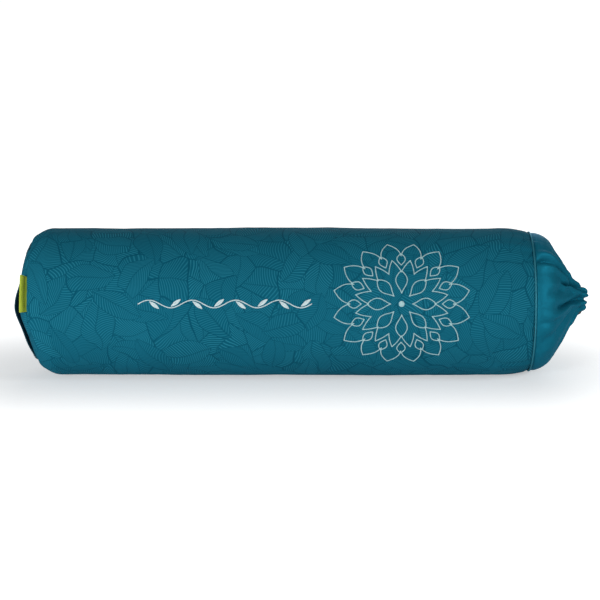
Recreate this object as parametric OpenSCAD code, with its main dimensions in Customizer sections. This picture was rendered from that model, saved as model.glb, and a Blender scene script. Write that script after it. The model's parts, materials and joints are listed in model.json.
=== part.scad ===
// Round yoga bolster: a zipped, fibre-filled insert inside a patterned cover that a drawcord closes.
// Frame: the roll lies along X, rests on z = 0, and its embroidered front faces -Y.
// The origin is on the resting face, under the middle of the patterned part.

/* [Roll] */
// Diameter of the filled roll
roll_d = 200; // [160:1:240]
// Length of the patterned part, from the crown of the closed end to the sleeve seam
body_len = 696; // [560:1:800]
// How far the resting side is pressed flat
rest_sink = 2; // [1:0.5:4]
// Thickness of the cover fabric
cover_t = 1.2; // [0.8:0.1:2]

/* [Closed end] */
// Axial depth of the domed, closed end
crown_depth = 50; // [35:1:60]
// Exponent of the dome: 2 is an ellipse, and more is flatter in the middle
crown_power = 2.4; // [2:0.1:3]
// Radius of the seam between the body and the round end panel
end_seam_r = 82; // [70:1:90]

/* [Sleeve and mouth] */
// Radius of the roll at the sleeve seam
sleeve_r = 94; // [88:0.5:97]
// Radius of the rounded shoulder that the insert's end makes in the sleeve
shoulder_r = 32; // [26:1:40]
// Slope of the gathered cone, from the roll's axis
cone_slope = 57; // [50:1:62]
// Radius at which the cone ends, under the drawcord casing
throat_r = 17; // [14:1:24]
// Radius of the ring that the gathered casing makes
mouth_r = 12.5; // [11:0.5:16]
// Radius of the casing's rolled hem
casing_r = 5; // [4:0.25:6]

/* [Drawcord and lock] */
// Diameter of the cord
cord_d = 3.5; // [2.5:0.25:4]
// Centre distance of the two cord tails
tail_gap = 6.4; // [5.5:0.1:7]
// Length of the straight tails
tail_len = 94; // [70:1:110]
// How far below the level the tails leave the mouth, at the back
tail_drop = 28; // [0:1:45]
// Height of the tails above the cone
tail_lift = 10; // [10:0.5:14]
// Place of the lock's centre along the tails
lock_at = 26; // [14:1:30]
// Radius of the lock's barrel
lock_r = 9.5; // [9:0.25:12]

/* [Handle and label] */
// Width of the carry strap
strap_w = 25; // [20:1:30]
// Thickness of the carry strap
strap_t = 2.5; // [2:0.5:4]
// Half the distance between the strap's two ends
strap_half = 80; // [60:1:82]
// Bow of the strap between its ends
strap_bow = 18; // [14:1:24]
// Length of the label along the seam
label_len = 48; // [30:1:60]
// How far the label stands out of the seam
label_out = 10; // [6:0.5:14]
// Angle of the label above the front
label_angle = 22; // [0:1:40]

/* [Embroidery] */
// Radius of the flower
flower_r = 92; // [60:1:100]
// Place of the flower's centre along the roll
flower_x = 168; // [120:1:210]
// Length of the leafy vine
vine_len = 228; // [120:1:260]
// Place of the vine's centre along the roll
vine_x = -64; // [-140:1:-40]
// Angle of the embroidery above the front
motif_angle = 13; // [0:1:40]
// Thickness of the thread
thread_d = 1.2; // [0.8:0.1:1.6]

/* [Insert] */
// Gap between the insert and the cover
insert_gap = 0.8; // [0.5:0.1:2]
// Thickness of the insert's cotton casing
ticking_t = 1; // [0.6:0.1:1.6]
// Length of the zip on the insert's end
zip_len = 120; // [90:5:130]

/* [Hidden] */
$fn = 64;

roll_r = roll_d / 2;
axis_z = roll_r - rest_sink;
seam_x = body_len / 2;
crown_x = -seam_x + crown_depth;
taper_len = 42;
// The piping's radius, and how far its middle stands above the sleeve's radius
piping_r = 1.9;
piping_lift = 0.6;
// Half the space that the body and the sleeve leave between them for the piping
seam_half_gap = 2.5;
// Half the space between the round end panel and the body
seam_slit = 0.5;

// The shoulder is an arc around this point, and the cone runs on from its end.
shoulder_mid = [seam_x + seam_half_gap, sleeve_r - shoulder_r];
cone_dir = [cos(cone_slope), -sin(cone_slope)];
cone_normal = [sin(cone_slope), cos(cone_slope)];
cone_start = shoulder_mid + shoulder_r * cone_normal;
cone_end = cone_start + (cone_start[1] - throat_r) / sin(cone_slope) * cone_dir;
mouth_x = cone_end[0] + casing_r;
tail_bend = cone_end + tail_lift * cone_normal;

// ---- profiles, as [x, r] points ----

// Axial place of the domed end's surface at radius r, for a roll inset by t
function dome_x(r, t = 0) =
    crown_x - (crown_depth - t) * sqrt(max(0, 1 - pow(r / (roll_r - t), crown_power)));

function dome_profile(r_from, r_to, t, steps) =
    [for (i = [0 : steps]) let (r = r_from + (r_to - r_from) * sin(90 * i / steps)) [dome_x(r, t), r]];

// The body narrows a little towards the sleeve seam.
function taper_profile(t, steps) =
    [for (i = [0 : steps]) let (f = i / steps)
        [seam_x - seam_half_gap - taper_len * (1 - f), roll_r - t - (roll_r - sleeve_r) * f * f]];

function shoulder_profile(t, steps) =
    [for (i = [0 : steps]) let (a = 90 - cone_slope * i / steps)
        shoulder_mid + (shoulder_r - t) * [cos(a), sin(a)]];

function body_profile(t) =
    concat(dome_profile(end_seam_r + seam_slit, roll_r - t, t, 12), taper_profile(t, 6));

function sleeve_profile(t) = concat(shoulder_profile(t, 8), [cone_end - t * cone_normal]);

function reversed(list) = [for (i = [len(list) - 1 : -1 : 0]) list[i]];

// A profile of [x, r] points, turned round the roll's axis
module turned(points) {
    translate([0, 0, axis_z])
        rotate([90, 0, 90])
            rotate_extrude()
                polygon([for (p = points) [p[1], p[0]]]);
}

// Everything above a plane that presses the roll's underside flat
module above(z) {
    translate([-body_len, -roll_d, z])
        cube([2 * body_len, 2 * roll_d, 2 * roll_d]);
}

// ---- places ----

// Turns about the roll's axis, so that -Y points up by the angle
module at_front(angle) {
    translate([0, 0, axis_z])
        rotate([-angle, 0, 0])
            children();
}

// The drawcord leaves the mouth along +Y of this frame.
module at_exit() {
    translate([0, 0, axis_z])
        rotate([-tail_drop, 0, 0])
            children();
}

// The lock's frame: +X runs down the tails, and +Z points away from the cone
module at_lock() {
    at_exit()
        translate([tail_bend[0], tail_bend[1], 0])
            rotate([0, 0, 180 - cone_slope])
                rotate([90, 0, 0])
                    translate([lock_at, 0, 0])
                        children();
}

// The zip's frame, on the insert's flat end: +X runs along the zip, and +Z points out of the insert
module at_zip() {
    translate([insert_face_x, 0, axis_z])
        rotate([0, 90, 0])
            rotate([0, 0, 90])
                children();
}

// ---- the cover ----

module cover_body() {
    color("teal")
        difference() {
            intersection() {
                turned(concat(body_profile(0),
                    [[seam_x - seam_half_gap, 0], [dome_x(end_seam_r + seam_slit), 0]]));
                above(0);
            }
            intersection() {
                turned(concat([[-body_len, end_seam_r + seam_slit - cover_t]], body_profile(cover_t),
                    [[body_len, sleeve_r - cover_t], [body_len, 0], [-body_len, 0]]));
                above(cover_t);
            }
        }
}

module cover_end_panel() {
    outer = dome_profile(0, end_seam_r - seam_slit, 0, 10);
    inner = [for (p = outer) p + [cover_t, 0]];
    color("teal")
        turned(concat(outer, reversed(inner)));
}

module cover_sleeve() {
    color("darkcyan")
        turned(concat(sleeve_profile(0), reversed(sleeve_profile(cover_t))));
}

module sleeve_piping() {
    color("cadetblue")
        translate([seam_x, 0, axis_z])
            rotate([0, 90, 0])
                rotate_extrude()
                    translate([sleeve_r + piping_lift, 0])
                        circle(piping_r);
}

// A rolled hem round the mouth, with a channel for the cord and a slot where the cord comes out
module drawcord_casing() {
    channel_gap = 1.5;
    slot_w = 8;
    slot_h = 9;
    slot_lean = 3;
    color("darkcyan")
        difference() {
            mouth_ring(casing_r);
            mouth_ring(cord_d / 2 + channel_gap);
            at_exit()
                translate([mouth_x - slot_w / 2 + 0.5, mouth_r, 0])
                    linear_extrude(2 * tail_gap, center = true)
                        polygon([[0, 0], [slot_w, 0], [slot_w + slot_lean, slot_h], [slot_lean, slot_h]]);
        }
}

module mouth_ring(r) {
    translate([mouth_x, 0, axis_z])
        rotate([0, 90, 0])
            rotate_extrude()
                translate([mouth_r, 0])
                    circle(r);
}

// ---- the drawcord and its lock ----

module bar(from, to, r) {
    d = to - from;
    translate(from)
        rotate([0, acos(d[2] / norm(d)), atan2(d[1], d[0])])
            cylinder(r = r, h = norm(d));
}

// A ring in the casing, whose two ends leave through the slot and run down the cone to a knot each
module drawcord() {
    r = cord_d / 2;
    joint_r = 1.06 * r;
    knot_r = tail_gap / 2 - 0.3;
    open = asin(tail_gap / 2 / mouth_r);
    tip = tail_bend - tail_len * cone_dir;
    color("teal")
        at_exit() {
            translate([mouth_x, 0, 0])
                rotate([0, 90, 0])
                    rotate([0, 0, 90 + open])
                        rotate_extrude(angle = 360 - 2 * open)
                            translate([mouth_r, 0])
                                circle(r);
            for (side = [-1, 1]) {
                z = side * tail_gap / 2;
                start = [mouth_x, mouth_r * cos(open), z];
                corner = [tail_bend[0], tail_bend[1], z];
                end = [tip[0], tip[1], z];
                translate(start) sphere(joint_r);
                bar(start, corner, r);
                translate(corner) sphere(joint_r);
                bar(corner, end, r);
                translate(end) sphere(knot_r);
            }
        }
}

// Heights along the lock's axis, from the middle of the cords
lock_floor = -7.6;
lock_top = 6.5;
plunger_foot = -3.3;
plunger_top = lock_top + 4;
window_foot = -1.9;
// Wall and floor of the barrel, and the play that the plunger slides with
lock_wall = 2;
floor_t = 1.2;
slide_gap = 0.1;
// Travel of the plunger
press = 2.2;
plunger_r = lock_r - lock_wall;
bore_r = cord_d / 2 + 0.35;
window_half = tail_gap / 2 + bore_r;

module cord_lock_body() {
    color("dimgray")
        at_lock()
            difference() {
                translate([0, 0, lock_floor - floor_t])
                    cylinder(r = lock_r, h = lock_top - lock_floor + floor_t);
                translate([0, 0, lock_floor])
                    cylinder(r = plunger_r + slide_gap, h = 2 * lock_top - lock_floor);
                for (side = [-1, 1])
                    translate([0, side * tail_gap / 2, 0])
                        rotate([0, 90, 0])
                            cylinder(r = bore_r, h = 4 * lock_r, center = true);
            }
}

module cord_lock_button() {
    window_top = -window_foot + press;
    color("gray")
        at_lock()
            difference() {
                translate([0, 0, plunger_foot])
                    cylinder(r = plunger_r, h = plunger_top - plunger_foot);
                translate([-lock_r, -window_half, window_foot])
                    cube([2 * lock_r, 2 * window_half, window_top - window_foot]);
            }
}

// The coil under the plunger, as a closed tube along a helix
module cord_lock_spring() {
    wire = 0.3;
    seat_gap = 0.05;
    coil_r = plunger_r - 2.2;
    turns = 3;
    sides = 8;
    steps = 20 * turns;
    low = lock_floor + wire + seat_gap;
    high = plunger_foot - wire - seat_gap;
    points = [for (i = [0 : steps], j = [0 : sides - 1])
        let (a = 360 * turns * i / steps, b = 360 * j / sides, r = coil_r + wire * cos(b))
            [r * cos(a), r * sin(a), low + (high - low) * i / steps + wire * sin(b)]];
    walls = [for (i = [0 : steps - 1], j = [0 : sides - 1])
        let (k = (j + 1) % sides, p = i * sides, q = p + sides)
            [p + j, q + j, q + k, p + k]];
    caps = [[for (j = [0 : sides - 1]) j], [for (j = [sides - 1 : -1 : 0]) steps * sides + j]];
    color("silver")
        at_lock()
            polyhedron(points, concat(walls, caps));
}

// ---- the handle and the label ----

// Distance of the strap's two ends from the closed end
strap_stand_off = 3;
strap_x = dome_x(strap_half) - strap_stand_off;
strap_arc_r = (strap_half * strap_half + strap_bow * strap_bow) / (2 * strap_bow);
strap_centre_x = strap_x - strap_bow + strap_arc_r;
strap_half_angle = asin(strap_half / strap_arc_r);

// A webbing arc across the end panel, from seam to seam
module handle_strap() {
    color("darkslategray")
        translate([strap_centre_x, 0, axis_z])
            rotate([90, 0, 0])
                rotate([0, 0, 180 - strap_half_angle])
                    rotate_extrude(angle = 2 * strap_half_angle)
                        translate([strap_arc_r, -strap_w / 2])
                            square([strap_t, strap_w]);
}

// The dense rows of thread that sew the strap's two ends down, on its outer face
module handle_bartacks() {
    rows = 5;
    pitch = strap_w / rows;
    tack = [0.8, 2.8, 6];
    in_from_end = 1.5;
    gap = 0.1;
    color("darkcyan")
        for (side = [-1, 1], row = [0 : rows - 1])
            translate([strap_centre_x, (row - (rows - 1) / 2) * pitch, axis_z])
                rotate([0, side * (strap_half_angle - in_from_end), 0])
                    translate([-strap_arc_r - strap_t - gap - tack[0], -tack[1] / 2, -tack[2] / 2])
                        cube(tack);
}

label_root = [dome_x(end_seam_r), -end_seam_r];
// Angle between the label and the plane of the end seam, and its distance from the seam
label_tilt = 54;
label_lift = 1;
// Thickness of one ply of the ribbon, and half the thickness of the folded label
label_ply = 0.5;
label_half = 0.8;

// The label's frame: +X points out of the seam, and Z runs along it
module at_label() {
    at_front(label_angle)
        translate([label_root[0], label_root[1], 0])
            rotate([0, 0, 180 + 90 - label_tilt])
                translate([label_lift, 0, 0])
                    children();
}

// A folded ribbon: two plies that meet in a round fold
module label_tab() {
    fold_x = label_out - label_half;
    inner_half = label_half - label_ply;
    color("yellowgreen")
        at_label()
            linear_extrude(label_len, center = true)
                difference() {
                    union() {
                        translate([0, -label_half]) square([fold_x, 2 * label_half]);
                        translate([fold_x, 0]) circle(label_half);
                    }
                    translate([-1, -inner_half]) square([fold_x + 1, 2 * inner_half]);
                    translate([fold_x, 0]) circle(inner_half);
                }
}

// One row of stitches along the label's outer ply, near the seam
module label_stitches() {
    count = 11;
    thread_r = 0.3;
    gap = 0.1;
    margin = 2;
    from_seam = 1.6;
    pitch = (label_len - 2 * margin) / count;
    color("olive")
        at_label()
            for (i = [0 : count - 1])
                translate([from_seam, label_half + gap + thread_r, pitch * (i + 0.5 - count / 2)])
                    cylinder(r = thread_r, h = 0.7 * pitch, center = true);
}

// ---- the embroidery ----

thread_lift = 0.15;
stitch_gap = 0.9;

// A straight stitch on the front, between two flat points [along the roll, round the roll]
module stitch(a, b) {
    mid = (a + b) / 2;
    d = b - a;
    at_front(motif_angle + mid[1] / roll_r * 180 / PI)
        translate([mid[0], -roll_r - thread_lift - thread_d / 2, 0])
            rotate([0, 90 - atan2(d[1], d[0]), 0])
                cylinder(d = thread_d, h = norm(d) - stitch_gap, center = true);
}

module stitched(points) {
    for (i = [1 : len(points) - 1])
        stitch(points[i - 1], points[i]);
}

// One side of a petal, from radius r0 to r1: it starts open degrees off the petal's middle,
// and bulges by swell degrees half-way
function petal_side(middle, side, r0, r1, open, swell, steps) =
    [for (i = [0 : steps]) let (t = i / steps, r = r0 + (r1 - r0) * t,
        a = middle + side * (open * (1 - t) + swell * sin(180 * t))) r * [cos(a), sin(a)]];

module petal_ring(count, turn, r0, r1, open, swell, steps) {
    for (k = [0 : count - 1], side = [-1, 1])
        stitched([for (p = petal_side(turn + 360 * k / count, side, r0, r1, open, swell, steps))
            p + [flower_x, 0]]);
}

// Eight large petals, and three rings of small ones that reach the flower's edge
module flower_embroidery() {
    step = 360 / 16;
    r = flower_r;
    eye_r = 0.043 * r;
    eye_t = 0.9;
    color("lightcyan") {
        petal_ring(8, 0, 0.16 * r, 0.5 * r, 0, 14, 4);
        petal_ring(16, step / 2, 0.48 * r, 0.68 * r, step / 2, 0, 2);
        petal_ring(16, 0, 0.59 * r, 0.79 * r, 0, 5, 2);
        petal_ring(16, step / 2, 0.75 * r, r, step / 2, 2, 3);
        at_front(motif_angle)
            translate([flower_x, -roll_r - thread_lift, 0])
                rotate([90, 0, 0])
                    cylinder(r = eye_r, h = eye_t);
    }
}

vine_waves = 4;
vine_rise = 5;
// Length and height that a leaf of the vine covers, half its width, and its gap to the stem
leaf_len = 12;
leaf_rise = 9;
leaf_half = 3.2;
leaf_gap = 1.4;

// A point on the vine's wavy stem, at x from its middle
function vine_point(x) = [vine_x + x, vine_rise * sin(360 * x / vine_len * vine_waves)];

// A leaf's edge from root to tip. up is 1 for a leaf above the stem and -1 for one below, and side
// is -1 or 1 for its two edges.
function leaf_side(root, up, side) =
    [for (t = [0, 0.5, 1]) let (w = leaf_half * side * sin(180 * t))
        root + [leaf_len * t - 0.6 * up * w, up * leaf_rise * t + 0.8 * w]];

module vine_embroidery() {
    steps = 30;
    leaves = 2 * vine_waves;
    color("lightcyan") {
        stitched([for (i = [0 : steps]) vine_point(vine_len * (i / steps - 0.5))]);
        for (k = [0 : leaves - 1], side = [-1, 1]) {
            up = k % 2 == 0 ? -1 : 1;
            root = vine_point(vine_len * ((k + 0.5) / leaves - 0.5)) + [0, up * leaf_gap];
            stitched(leaf_side(root, up, side));
        }
    }
}

// ---- the insert ----

insert_t = cover_t + insert_gap;
insert_seam_r = 78;
// The insert's flat end, and how far before it the insert's tube stops
insert_face_x = cone_start[0] - insert_t - 2.5;
insert_face_gap = 3;

function insert_tube_profile(t) = concat(dome_profile(insert_seam_r + seam_slit, roll_r - t, t, 12),
    taper_profile(t, 6),
    [for (p = shoulder_profile(t, 8)) if (p[0] < insert_face_x - insert_face_gap) p]);

function insert_closed_profile(t, steps) = dome_profile(0, insert_seam_r - seam_slit, t, steps);

module insert_tube() {
    outer = insert_tube_profile(insert_t);
    inner = insert_tube_profile(insert_t + ticking_t);
    color("ivory")
        intersection() {
            turned(concat(outer, reversed(inner)));
            above(insert_t);
        }
}

module insert_closed_end() {
    outer = insert_closed_profile(insert_t, 10);
    color("ivory")
        turned(concat(outer, reversed([for (p = outer) p + [ticking_t, 0]])));
}

// The flat end panel, with the slit that the zip closes
module insert_zip_end() {
    color("ivory")
        difference() {
            translate([insert_face_x - ticking_t, 0, axis_z])
                rotate([0, 90, 0])
                    cylinder(r = insert_seam_r, h = ticking_t);
            at_zip()
                cube([zip_len, zip_slit, 4 * ticking_t], center = true);
        }
}

// The fibre fills the casing, with a little room all round
module fibre_filling() {
    t = insert_t + ticking_t + 0.4;
    end_x = insert_face_x - ticking_t - 1.2;
    end_r = insert_seam_r - 3;
    crown_gap = 0.6;
    color("white")
        intersection() {
            turned(concat([for (p = dome_profile(0, roll_r - t, t, 16)) p + [crown_gap, 0]],
                taper_profile(t, 6), [for (p = shoulder_profile(t, 8)) if (p[0] < end_x - 2) p],
                [[end_x, end_r], [end_x, 0]]));
            above(t);
        }
}

// ---- the zip ----

// Width of the slit that the zip closes
zip_slit = 6;
// Heights in this section are above the insert's flat end.
tape_z = 0.2;
tape_t = 0.6;
tape_w = 13;
// How far the tapes run on past each end of the zip
tape_over = 8;
tooth = [0.9, 1.8, 1.6];
teeth_pitch = 2.5;
// Half the lane between the two rows of teeth, where the slider's post runs
teeth_gap = 0.7;
zip_z = tape_z + tape_t / 2;
slider_len = 12;
slider_x = -zip_len / 2 + slider_len;
wing_w = 9;
wing_t = 0.9;
wing_z = zip_z + tooth[2] / 2 + 0.3;
// The bridge over the slider: its width and thickness, and the height of its opening
bridge_w = 2;
bridge_t = 0.9;
bridge_h = 2.5;
bridge_half = 3.8;
// The pull: its axis, its width and thickness, and the length from its axis to its round end
pull_z = wing_z + wing_t + bridge_h / 2;
pull_w = 7;
pull_t = 1;
pull_len = 13;

module zip_tapes() {
    color("lightgray")
        at_zip()
            for (side = [0, 1])
                mirror([0, side, 0])
                    translate([-zip_len / 2 - tape_over, teeth_gap + tooth[1] + 0.1, tape_z])
                        cube([zip_len + 2 * tape_over, tape_w, tape_t]);
}

// Two rows of teeth, one from each tape, half a pitch apart
module zip_teeth() {
    count = floor((zip_len - 6) / teeth_pitch);
    color("white")
        at_zip()
            for (i = [0 : count - 1], side = [-1, 1]) {
                x = (i - (count - 1) / 2 + side / 4) * teeth_pitch;
                translate([x, side * (teeth_gap + tooth[1] / 2), zip_z])
                    cube(tooth, center = true);
            }
}

// A block centred on x and y, from z upwards
module block(x, y, z, size) {
    translate([x - size[0] / 2, y - size[1] / 2, z])
        cube(size);
}

// Upper and lower wings joined by a post between the teeth, and a bridge for the pull
module zip_slider() {
    under_w = 5.2;
    lip = 1;
    leg = 1.2;
    post = 2;
    foot_z = zip_z - tooth[2] / 2 - 1.3;
    bridge_z = wing_z + wing_t;
    color("silver")
        at_zip()
            translate([slider_x, 0, 0]) {
                block(0, 0, wing_z, [slider_len, wing_w, wing_t]);
                for (side = [-1, 1])
                    block(0, side * (wing_w - lip) / 2, wing_z - 0.3, [slider_len, lip, 0.5]);
                block(0, 0, foot_z, [slider_len, under_w, wing_t]);
                block(slider_len / 2 - 3, 0, foot_z + 0.7, [post, teeth_gap, tooth[2] + 1.2]);
                for (end = [-1, 1])
                    block(end * (bridge_half - leg / 2), 0, bridge_z - 0.1, [leg, bridge_w, bridge_h + 0.2]);
                block(0, 0, bridge_z + bridge_h, [2 * bridge_half, bridge_w, bridge_t]);
            }
}

// A tab whose eye turns under the slider's bridge, lying along the zip
module zip_pull() {
    rim = 0.5;
    eye = [4.1, 3.2, 2 * pull_t];
    finger_hole_r = 1.5;
    color("silver")
        at_zip()
            translate([slider_x, 0, pull_z])
                difference() {
                    union() {
                        translate([-rim, -pull_w / 2, -pull_t / 2])
                            cube([pull_len + rim, pull_w, pull_t]);
                        translate([pull_len, 0, -pull_t / 2])
                            cylinder(d = pull_w, h = pull_t);
                    }
                    translate([rim, -eye[1] / 2, -eye[2] / 2])
                        cube(eye);
                    translate([pull_len, 0, -pull_t])
                        cylinder(r = finger_hole_r, h = 2 * pull_t);
                }
}

module zip_stops() {
    color("silver")
        at_zip()
            for (end = [-1, 1])
                translate([end * (zip_len / 2 - 1), 0, zip_z])
                    cube([1.6, 3.2, 2], center = true);
}

cover_body();
cover_end_panel();
cover_sleeve();
sleeve_piping();
drawcord_casing();
drawcord();
cord_lock_body();
cord_lock_button();
cord_lock_spring();
handle_strap();
handle_bartacks();
label_tab();
label_stitches();
flower_embroidery();
vine_embroidery();
insert_tube();
insert_closed_end();
insert_zip_end();
fibre_filling();
zip_tapes();
zip_teeth();
zip_slider();
zip_pull();
zip_stops();
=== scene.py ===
"""The looks of a round yoga bolster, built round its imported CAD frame.

Most places are given on the roll's cloth: s is the distance along it from the closed end's seam,
and phi is the angle round the roll, which is 0 at the front, facing -Y, and grows upwards. Lengths
are in metres.
"""

import json
import math

import bmesh
import bpy
import numpy as np
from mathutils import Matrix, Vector, noise


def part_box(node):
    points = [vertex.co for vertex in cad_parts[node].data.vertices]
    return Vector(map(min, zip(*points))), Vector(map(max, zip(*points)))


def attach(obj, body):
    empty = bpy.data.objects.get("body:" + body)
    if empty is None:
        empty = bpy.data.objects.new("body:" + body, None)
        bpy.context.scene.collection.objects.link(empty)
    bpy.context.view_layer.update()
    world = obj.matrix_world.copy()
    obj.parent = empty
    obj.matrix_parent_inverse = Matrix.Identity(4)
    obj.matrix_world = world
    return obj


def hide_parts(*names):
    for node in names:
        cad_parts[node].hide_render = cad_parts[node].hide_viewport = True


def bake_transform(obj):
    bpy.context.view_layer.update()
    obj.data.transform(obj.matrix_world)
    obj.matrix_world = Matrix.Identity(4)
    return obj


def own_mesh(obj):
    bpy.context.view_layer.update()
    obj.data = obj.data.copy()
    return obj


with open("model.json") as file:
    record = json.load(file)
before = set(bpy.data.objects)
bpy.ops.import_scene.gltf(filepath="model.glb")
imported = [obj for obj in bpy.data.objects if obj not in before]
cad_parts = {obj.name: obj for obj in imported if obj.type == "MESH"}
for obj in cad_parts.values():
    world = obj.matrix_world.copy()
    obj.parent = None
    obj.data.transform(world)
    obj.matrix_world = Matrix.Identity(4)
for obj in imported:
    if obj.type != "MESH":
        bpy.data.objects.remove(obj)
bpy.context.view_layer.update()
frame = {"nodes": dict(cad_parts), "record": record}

MM = 0.001
TAU = 2 * math.pi

# ---- sizes, from the frame ----

body_lo, body_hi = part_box("cover_body")
ROLL_R = (body_hi.y - body_lo.y) / 2
AXIS_Z = body_hi.z - ROLL_R
SINK = ROLL_R - AXIS_Z
# The sag of the closed end: how far its underside leans in, and over what height that comes on
LEAN_IN = 9.5 * MM
LEAN_WIDTH = 31 * MM
panel_lo, panel_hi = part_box("cover_end_panel")
END_SEAM_R = (panel_hi.z - panel_lo.z) / 2
CROWN_X = body_lo.x + 31.3 * MM
CROWN_DEPTH = CROWN_X - panel_lo.x
CROWN_POWER = 2.4
piping_lo, piping_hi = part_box("sleeve_piping")
# The cloth's seam and mouth sit a little further in than the frame's.
SEAM_X = (piping_lo.x + piping_hi.x) / 2 - 3 * MM
sleeve_lo, sleeve_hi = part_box("cover_sleeve")
SLEEVE_R = (sleeve_hi.y - sleeve_lo.y) / 2
casing_lo, casing_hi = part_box("drawcord_casing")
MOUTH_X = (casing_lo.x + casing_hi.x) / 2 - 7.5 * MM
MOUTH_R = (casing_hi.y - casing_lo.y) / 2 - (casing_hi.x - casing_lo.x) / 2 - 2 * MM
ZIP_FACE_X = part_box("insert_zip_end")[1].x
TAPER = 42 * MM
SHOULDER_R = 32 * MM
CONE_SLOPE = math.radians(57)
# The cover's lengthwise seam, low on the far side
BACK_SEAM = math.radians(-150)
COVER_T = 1.1 * MM
INSERT_GAP = 3.2 * MM
TICKING_T = 0.9 * MM

joints = {joint["name"]: joint for joint in frame["record"]["behaviour"]["joints"]}
TAIL_DIR = Vector(joints["cord_lock_slide"]["axis"])
TAIL_OUT = -Vector(joints["lock_button_press"]["axis"])
TAIL_SIDE = TAIL_OUT.cross(TAIL_DIR)
EXIT = math.atan2(TAIL_DIR.z, -TAIL_DIR.y)
SPRING_FOOT = Vector(joints["lock_button_press"]["deforming_nodes"][0]["fixed_end_m"])
LOCK = SPRING_FOOT + 7.6 * MM * TAIL_OUT
LABEL_ROOT = Vector(joints["label_fold"]["pos_m"])
LABEL_ANGLE = math.atan2(LABEL_ROOT.z - AXIS_Z, -LABEL_ROOT.y)


# ---- small tools ----


def collection_add(obj):
    bpy.context.scene.collection.objects.link(obj)
    return obj


def mesh_object(name, verts, faces, smooth=True):
    mesh = bpy.data.meshes.new(name)
    mesh.from_pydata(np.asarray(verts, float).tolist(), [], [list(face) for face in faces])
    mesh.update()
    if smooth:
        mesh.polygons.foreach_set("use_smooth", [True] * len(mesh.polygons))
    return collection_add(bpy.data.objects.new(name, mesh))


def sheet(name, points, flat=None, wrap=True):
    """A quad sheet through points[row, column]. wrap closes it round the columns. flat[row, column] is each
    corner's place on the flat cloth, with one more column than points where the sheet is closed."""
    rows, columns = points.shape[:2]
    spans = columns if wrap else columns - 1
    i, j = grid(np.arange(rows - 1), np.arange(spans))
    k = (j + 1) % columns
    faces = np.stack([i * columns + j, (i + 1) * columns + j, (i + 1) * columns + k, i * columns + k], -1)
    obj = mesh_object(name, points.reshape(-1, 3), faces.reshape(-1, 4))
    if flat is not None:
        corners = np.stack([flat[i, j], flat[i + 1, j], flat[i + 1, j + 1], flat[i, j + 1]], 2)
        layer = obj.data.uv_layers.new(name="cloth")
        layer.data.foreach_set("uv", corners.reshape(-1, 2).astype(np.float32).ravel())
    return obj


def edit_mesh(obj, change):
    work = bmesh.new()
    work.from_mesh(obj.data)
    change(work)
    work.to_mesh(obj.data)
    work.free()
    return obj


def cap(obj):
    """Closes the two open ends of a tube."""

    def close(work):
        bmesh.ops.holes_fill(work, edges=work.edges, sides=0)
        bmesh.ops.recalc_face_normals(work, faces=work.faces)

    return edit_mesh(obj, close)


def fractal(points, size, octaves=3, seed=0.0):
    """Smooth noise of about -1 to 1 at each point, with features of about the given size."""
    shift = Vector((seed, 2.3 * seed, -1.7 * seed))
    flat = points.reshape(-1, 3)
    values = [noise.fractal(Vector(p) / size + shift, 0.7, 2.0, octaves) for p in flat.tolist()]
    return np.array(values).reshape(points.shape[:-1])


def smooth_step(x, low, high):
    t = np.clip((x - low) / (high - low), 0, 1)
    return t * t * (3 - 2 * t)


def bump(x, width, power=2):
    """1 where x is 0, and falling away over about width on both sides."""
    return np.exp(-((np.abs(x) / width) ** power))


def angle_gap(a, b):
    """The signed angle from b to a, between -pi and pi."""
    return (a - b + math.pi) % TAU - math.pi


def grid(down, across):
    return np.meshgrid(down, across, indexing="ij")


def unit(vectors):
    return vectors / np.maximum(np.linalg.norm(vectors, axis=-1, keepdims=True), 1e-12)


def distances(path):
    """How far along a path each of its points is."""
    return np.concatenate([[0], np.cumsum(np.linalg.norm(np.diff(path, axis=0), axis=1))])


def softened(values, width):
    """Values along a line, evened out over a number of places, with both ends kept."""
    before = 2 * values[:1] - values[width:0:-1]
    after = 2 * values[-1:] - values[-2 : -width - 2 : -1]
    padded = np.concatenate([before, values, after])
    kernel = np.hanning(2 * width + 3)[1:-1]
    kernel /= kernel.sum()
    return np.stack([np.convolve(column, kernel, "valid") for column in padded.T], -1)


def resampled(path, step):
    """Points along a path at an even spacing of about step."""
    s = distances(path)
    at = np.linspace(0, s[-1], max(2, int(round(s[-1] / step)) + 1))
    return np.stack([np.interp(at, s, path[:, i]) for i in range(path.shape[1])], -1)


def thicken(obj, depth, offset=-1):
    solid = obj.modifiers.new("thickness", "SOLIDIFY")
    solid.thickness = depth
    solid.offset = offset
    return obj


# ---- the roll's surface ----


def place(x, r, phi):
    return np.stack(np.broadcast_arrays(x, -r * np.cos(phi), AXIS_Z + r * np.sin(phi)), -1)


def settled(points, floor=0.0):
    """The filling sags: the closed end leans in below the axis, and the underside lies flat."""
    x, z = points[..., 0], points[..., 2] - floor
    below = 1 - bump(np.minimum(z + floor - AXIS_Z, 0), LEAN_WIDTH)
    points[..., 0] = x + LEAN_IN * below * smooth_step(-x, -CROWN_X - 70 * MM, 40 * MM - CROWN_X)
    near = np.clip(z, -SINK, SINK)
    points[..., 2] = floor + np.where(z < SINK, (near + SINK) ** 2 / (4 * SINK), z)
    return points


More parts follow.
